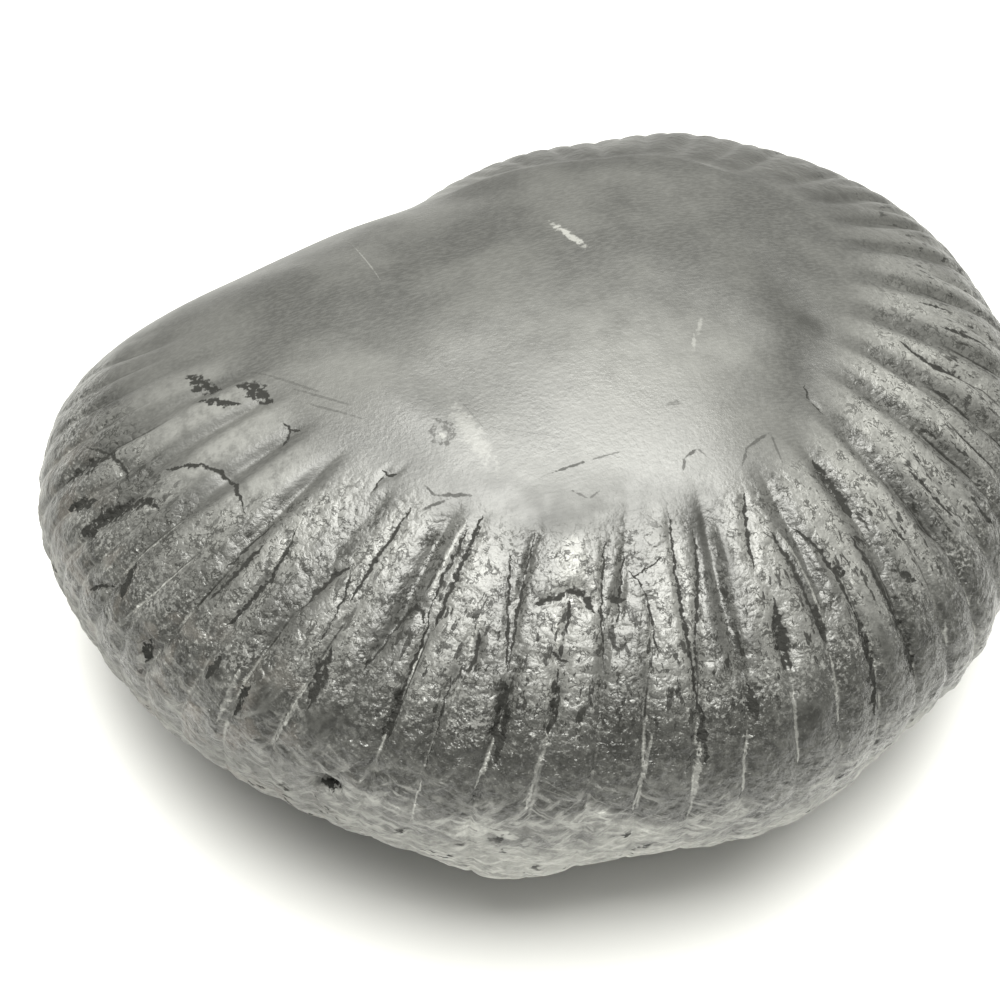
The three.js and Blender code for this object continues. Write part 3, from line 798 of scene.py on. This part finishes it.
def blackStone():
    material = bpy.data.materials.new("wornBlackStone")
    material.use_nodes = True
    tree = material.node_tree
    w = Wiring(tree)
    times, plus, blend = w.times, w.plus, w.blend
    shader = tree.nodes["Principled BSDF"]
    finish = stoneFinish
    place = w.add("ShaderNodeVectorMath", operation="SCALE")  # millimetres
    w.feed(place.inputs[0], w.add("ShaderNodeTexCoord").outputs["Object"])
    place.inputs["Scale"].default_value = 1 / mm
    place = place.outputs[0]

    def layer(name):
        return w.add("ShaderNodeAttribute", attribute_name=name).outputs["Fac"]

    def vector(operation, a, b=None):
        node = w.add("ShaderNodeVectorMath", operation=operation)
        w.feed(node.inputs[0], a)
        w.feed(node.inputs[1], b)
        return node

    def noise(size, detail=4.0, roughness=0.55, distortion=0.0, at=place, kind="FBM"):
        node = w.add("ShaderNodeTexNoise", noise_type=kind)
        w.feed(node.inputs["Vector"], at)
        w.feed(node.inputs["Scale"], 1.0 / size)
        w.feed(node.inputs["Detail"], detail)
        w.feed(node.inputs["Roughness"], roughness)
        w.feed(node.inputs["Distortion"], distortion)
        return node

    def cloud(*settings, **named):
        return noise(*settings, **named).outputs[0]

    def facets(size):  # sharp creases between small facets, low in a crease and high on a facet
        node = noise(size, 2.0, 0.6, kind="RIDGED_MULTIFRACTAL")
        node.inputs["Offset"].default_value = 1.0
        node.inputs["Gain"].default_value = 1.6
        return w.math("SUBTRACT", 1.0, times(node.outputs[0], 0.5))

    def threads(value, width, swell):  # wandering lines that swell and thin, 1 on the line
        gap = w.math("ABSOLUTE", w.math("SUBTRACT", value, 0.5))
        return w.ramp(plus(gap, times(blotchy, -swell)), 0.0, width, 1.0, 0.0)

    def turned(angle, stretch):  # the place turned about the height, then squeezed along each axis
        node = w.add("ShaderNodeMapping", vector_type="TEXTURE")
        w.feed(node.inputs["Vector"], place)
        node.inputs["Rotation"].default_value = angle
        node.inputs["Scale"].default_value = stretch
        return node.outputs[0]

    def step(value, name):
        return w.ramp(value, *finishSteps[name])

    tilt, growth, ribbed, flaky = layer("tilt"), layer("growth"), layer("ribbed"), layer("flaky")
    ragged = w.math("SUBTRACT", cloud(finish["raggedSize"], 2.0), 0.5)
    blotchy = w.math("SUBTRACT", cloud(finish["blotchSize"], 3.0, 0.65), 0.5)
    patches = cloud(finish["patchSize"], 2.0)

    def onPath(name):  # 1 on the path, which wanders and has a ragged edge
        wander, blotched, torn, start, end = pathEdges[name]
        shift, edge = times(blotchy, wander), times(ragged, torn)
        if blotched:
            edge = plus(times(blotchy, blotched), edge)
        thin, full = finish["thinPath"]
        found = []
        for number in range(pathCounts[name]):
            width = layer(f"{name}Width{number}")
            across = w.math("ABSOLUTE", plus(layer(f"{name}Across{number}"), shift))
            gap = plus(w.math("DIVIDE", across, w.math("MAXIMUM", width, thin)), edge)
            found.append(times(w.ramp(gap, start, end, 1.0, 0.0), w.ramp(width, thin, full)))
        return w.most(*found)

    crack, veinAndCrest = onPath("crack"), onPath("veinAndCrest")
    chip = times(onPath("chip"), step(ragged, "torn"))
    phase = layer("lowerPhase")
    lineGap = w.math("ABSOLUTE", w.math("SUBTRACT", phase, w.math("ROUND", phase)))
    lineGap = plus(times(lineGap, finish["lineSpacing"]), times(ragged, 0.25))
    line = times(w.ramp(lineGap, 0.0, finish["lineWidth"], 1.0, 0.0), layer("lineStrength"))

    # Fine wrinkles high on the flank, painted dark as shade in creases, then a mottled zone of painted
    # glints that turns dark towards the rim.
    wrinkle = w.most(threads(cloud(finish["wrinkleSize"], 3.0, 0.6, 1.2), 0.04, 0.16),
                     threads(cloud(finish["fineWrinkleSize"], 2.0, 0.6), 0.05, 0.1))
    wrinkle = times(wrinkle, step(blotchy, "wrinklePatches"), flaky, step(tilt, "wrinklesEnd"))
    lengthways = w.add("ShaderNodeCombineXYZ")  # growth and tilt as a flat place, squeezed across the ribs
    w.feed(lengthways.inputs["X"], times(growth, 1 / finish["strokeSize"][0]))
    w.feed(lengthways.inputs["Y"], times(tilt, 1 / finish["strokeSize"][1]))
    stroke = cloud(1.0, 3.0, 0.65, at=lengthways.outputs[0])
    clusters = times(step(patches, "strokeClusters"), flaky)
    stroke = times(step(w.math("SUBTRACT", stroke, clusters), "strokes"), step(flaky, "strokesOnFlank"),
                   step(tilt, "strokesStart"), step(tilt, "strokesEnd"), step(growth, "strokesLeft"))
    zone = w.math("ADD", tilt, step(growth, "mottleLeft"))
    mottle = cloud(finish["mottleSize"], 2.0, 0.7)
    level = plus(step(zone, "mottleLevel"), times(w.math("SUBTRACT", patches, 0.5), 0.4))
    glints = step(w.math("SUBTRACT", mottle, level), "glintEdge")
    dark = times(w.rest(glints), step(zone, "darkStarts"), step(zone, "darkEnds"), ribbed)
    sparse = w.ramp(zone, 62.0, 68.0, 1.0, step(patches, "glintClusters"))
    glints = times(glints, step(zone, "glintsStart"), step(zone, "glintsEnd"),
                   step(ribbed, "glintsOnRibs"), sparse)

    # Pale fibres, and the pale band under the rim: a chalky coat, painted paler as well for the table's
    # light reflected in it.
    fibreA = cloud(finish["fibreSize"], 3.0, 0.6, 0.6, at=turned((0.0, 0.35, 0.0), (6.0, 6.0, 1.0)))
    fibreB = cloud(finish["fibreSize"], 3.0, 0.6, at=turned((0.0, -0.6, 0.3), (5.0, 5.0, 1.0)))
    strand = w.most(step(fibreA, "fibres"), step(fibreB, "crossFibres"))
    lowness = w.math("ADD", tilt, step(growth, "chalkRight"))
    fibre = times(strand, step(plus(lowness, times(layer("rusty"), 9.0)), "fibresStart"),
                  step(patches, "fibreClusters"), step(layer("paleBand"), "fibresInChalk"))
    sway = cloud(finish["swaySize"], 2.0, 0.65, at=turned((0.0, 0.0, 0.0), (2.0, 2.0, 1.0)))
    sway = times(w.math("SUBTRACT", sway, 0.5), finish["sway"])
    band = step(plus(lowness, sway), "bandStarts")
    hole = cloud(finish["holeSize"], 3.0, 0.5, at=turned((0.0, 0.0, 0.0), (1.7, 1.7, 1.0)))
    hole = times(step(hole, "holes"), step(patches, "somewhere"), step(tilt, "holesStart"),
                 step(tilt, "holesEnd"))

    cap = blend(step(cloud(finish["cloudSize"], 2.0), "capClouds"), *finish["cap"])
    brush = cloud(finish["brushSize"], 2.0, 0.6, at=turned((0.0, 0.0, 0.28), (3.5, 1.0, 1.0)))
    cap = blend(step(brush, "brushed"), cap, finish["dustAndSheen"])
    # Painted highlight: the cap paler where the lamp catches it.
    cap = blend(times(layer("bright"), step(patches, "lightPatches")), cap, finish["dustAndSheen"])
    flank = blend(step(blotchy, "flankBlotches"), *finish["flank"])
    colour = blend(times(step(ribbed, "onRibs"), step(tilt, "flankStarts")), cap, flank)
    # Pale dust on the right-hand ribs, heaviest on the crests as a painted highlight.
    crest = step(w.math("SINE", times(w.math("FRACT", layer("upperPhase")), math.pi)), "crests")
    colour = blend(times(layer("dustAndCrestSheen"), crest, step(blotchy, "dustSheenBlotches")), colour, finish["dustAndSheen"])
    colour = blend(glints, colour, finish["paintedGlint"])
    colour = blend(times(fibre, 0.45), colour, finish["chalkAndPaintedLight"])
    coatAndBounce = times(band, layer("paleBand"), step(strand, "bandStrands"), step(blotchy, "bandBlotches"))
    colour = blend(coatAndBounce, colour, finish["chalkAndPaintedLight"])
    colour = blend(times(layer("rusty"), step(patches, "rustPatches"), 0.4), colour, finish["rust"])
    # Pale streaks on the lower lines, and pale veins and crests; the crests are a painted highlight.
    paleLine = times(line, step(tilt, "linesPale"), step(patches, "somewhere"), 0.6)
    colour = blend(w.most(paleLine, times(veinAndCrest, step(tilt, "veinsAndLitCrests"))), colour, finish["chalkAndPaintedLight"])

    onTop = step(tilt, "topOnly")
    pale, inks = [], []
    for start, end, width, tone in capMarks:
        way = Vector(end) - Vector(start)
        spot = w.add("ShaderNodeMapping", vector_type="TEXTURE")  # a long oval round the mark
        w.feed(spot.inputs["Vector"], place)
        spot.inputs["Location"].default_value = (*((Vector(start) + Vector(end)) / 2), 0.0)
        spot.inputs["Rotation"].default_value = (0.0, 0.0, math.atan2(way.y, way.x))
        spot.inputs["Scale"].default_value = (way.length / 2 + width, width, 1e4)
        gap = plus(vector("LENGTH", spot.outputs[0]).outputs["Value"], times(ragged, 2.2))
        (pale if tone > 0 else inks).append(w.ramp(gap, 0.5, 1.2, abs(tone), 0.0))
    away = vector("SUBTRACT", place, (*ringedPit["middle"], 0.0)).outputs[0]
    away = vector("MULTIPLY", away, (1.0, 1.0, 0.0)).outputs[0]
    ring = w.math("SUBTRACT", vector("LENGTH", away).outputs["Value"], ringedPit["radius"])
    ring = plus(w.math("ABSOLUTE", plus(ring, times(blotchy, 2.4))), times(ragged, 1.4))
    inks.append(w.ramp(ring, 0.0, ringedPit["line"], 0.6, 0.0))
    colour = blend(times(w.most(*pale), onTop), colour, finish["chalkAndPaintedLight"])
    inked = times(w.most(*inks), onTop)

    # Painted shade: the cracks, chips, rib lines, holes, wrinkles, dashes and shaded patches are darkened
    # in colour and gloss, as are the dark mottles and the cap's dark hairlines.
    shaded = times(layer("shaded"), step(patches, "shadePatches"))
    darkLine = times(line, step(tilt, "linesDark"))
    shadeAndDarkMarks = w.most(crack, chip, inked, darkLine, times(hole, 0.9), times(wrinkle, 0.8),
                   times(stroke, 0.9), times(dark, 0.5), shaded)
    w.feed(shader.inputs["Base Color"], blend(shadeAndDarkMarks, colour, finish["shadeAndMarkTone"]))
    w.feed(shader.inputs["Specular IOR Level"], step(shadeAndDarkMarks, "specular"))

    rough = plus(finish["capRoughness"], times(w.math("SUBTRACT", patches, 0.5), 0.16))
    rough = w.mix(times(flaky, step(tilt, "glossStarts")), rough, finish["flankRoughness"])
    rough = w.mix(w.most(band, crack, chip), rough, finish["chalkRoughness"])
    w.feed(shader.inputs["Roughness"], rough)
    shader.inputs["IOR"].default_value = finish["ior"]

    grain = times(cloud(finish["grainSize"], 2.0, 0.7), 0.03)
    flake = times(cloud(finish["flakeSize"], 3.0, 0.75), step(tilt, "flakes"), flaky)
    creased = plus(times(step(tilt, "creases"), flaky), times(layer("bright"), 0.015))
    height = plus(grain, flake, times(facets(finish["facetSize"]), creased))
    bump = w.add("ShaderNodeBump")
    bump.inputs["Distance"].default_value = mm
    bump.inputs["Strength"].default_value = 1.0
    w.feed(bump.inputs["Height"], height)
    w.feed(shader.inputs["Normal"], bump.outputs[0])
    return material


def setInput(modifier, name, value):
    for item in modifier.node_group.interface.items_tree:
        if item.item_type == "SOCKET" and item.in_out == "INPUT" and item.name == name:
            modifier[item.identifier] = value


def makeStone():
    body = bpy.data.objects.new("stoneBlank", makeSkin())
    bpy.context.scene.collection.objects.link(body)
    modifier = body.modifiers.new("ribRelief", "NODES")
    modifier.node_group = ribReliefTree()
    for name, value in ribs.items():
        setInput(modifier, name, value)
    setInput(modifier, "Stone", blackStone())
    settled = body.evaluated_get(bpy.context.evaluated_depsgraph_get())
    mesh = bpy.data.meshes.new_from_object(settled)
    mesh.name = "ammoniteStone"
    body.modifiers.clear()
    bpy.data.objects.remove(body)
    stone = bpy.data.objects.new("ammoniteStone", mesh)
    bpy.context.scene.collection.objects.link(stone)
    mesh.shade_smooth()
    return stone


studio = {
    "elevation": 50.0,
    "distance": 110.6,
    "target": (-11.62, -12.18, 19.47),
    "lens": 39.6,
    "sensor": 36.0,
    "lamps": {                  # size, place and power; both aim at the origin
        "softbox": ((0.3, 0.32), (0.0, 0.028, 0.42), 4.7),
        "frontStrip": ((0.34, 0.08), (0.0, -0.185, 0.4), 0.28),
    },
    "lampColour": (1.0, 1.0, 0.95),
    "ceilingSpan": (0.3, 1.0),  # height plus way back, where the wall ends and the ceiling is full
    "table": (0.74, 0.74, 0.733, 1.0),
    "tableRoughness": 0.6,
    "tableReach": 1.2,
    "wall": (0.03, 0.03, 0.028, 1.0),
    "ceiling": (0.26, 0.26, 0.25, 1.0),
}


def makeTable():
    reach = studio["tableReach"]
    corners = [(-reach, -reach, 0), (reach, -reach, 0), (reach, reach, 0), (-reach, reach, 0)]
    mesh = bpy.data.meshes.new("tableTop")
    mesh.from_pydata(corners, [], [(0, 1, 2, 3)])
    table = bpy.data.objects.new("tableTop", mesh)
    bpy.context.scene.collection.objects.link(table)
    material = bpy.data.materials.new("paleTable")
    material.use_nodes = True
    shader = material.node_tree.nodes["Principled BSDF"]
    shader.inputs["Base Color"].default_value = studio["table"]
    shader.inputs["Roughness"].default_value = studio["tableRoughness"]
    mesh.materials.append(material)
    return table


def makeStudio():
    tilt = math.radians(studio["elevation"])
    reach = studio["distance"] * mm
    camera = bpy.data.cameras.new("camera")
    camera.lens, camera.sensor_width = studio["lens"], studio["sensor"]
    camera.clip_start = 0.01
    view = bpy.data.objects.new("camera", camera)
    view.location = (studio["target"][0] * mm,
                     studio["target"][1] * mm - reach * math.cos(tilt),
                     studio["target"][2] * mm + reach * math.sin(tilt))
    view.rotation_euler = (math.pi / 2 - tilt, 0, 0)
    bpy.context.scene.collection.objects.link(view)
    bpy.context.scene.camera = view

    for name, (size, spot, power) in studio["lamps"].items():
        lamp = bpy.data.lights.new(name, "AREA")
        lamp.shape = "RECTANGLE"
        lamp.size, lamp.size_y = size
        lamp.energy = power
        lamp.color = studio["lampColour"]
        holder = bpy.data.objects.new(name, lamp)
        holder.location = spot
        holder.rotation_euler = Vector(spot).to_track_quat("Z", "Y").to_euler()
        bpy.context.scene.collection.objects.link(holder)

    world = bpy.data.worlds.new("room")
    world.use_nodes = True
    w = Wiring(world.node_tree)  # dim walls that brighten towards the ceiling and the back
    way = w.add("ShaderNodeSeparateXYZ")
    w.feed(way.inputs[0], w.add("ShaderNodeTexCoord").outputs["Generated"])
    up = w.ramp(w.math("ADD", way.outputs["Z"], way.outputs["Y"]), *studio["ceilingSpan"])
    room = w.blend(up, studio["wall"], studio["ceiling"])
    w.feed(world.node_tree.nodes["Background"].inputs["Color"], room)
    bpy.context.scene.world = world
    bpy.context.scene.view_settings.view_transform = "Standard"


makeStudio()
print("studio ready")
table = makeTable()
stone = makeStone()
triangles = sum(len(face.vertices) - 2 for face in stone.data.polygons)
print("stone ready:", triangles, "triangles")
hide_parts("stone")
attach(stone, "root")

print("scene finished")
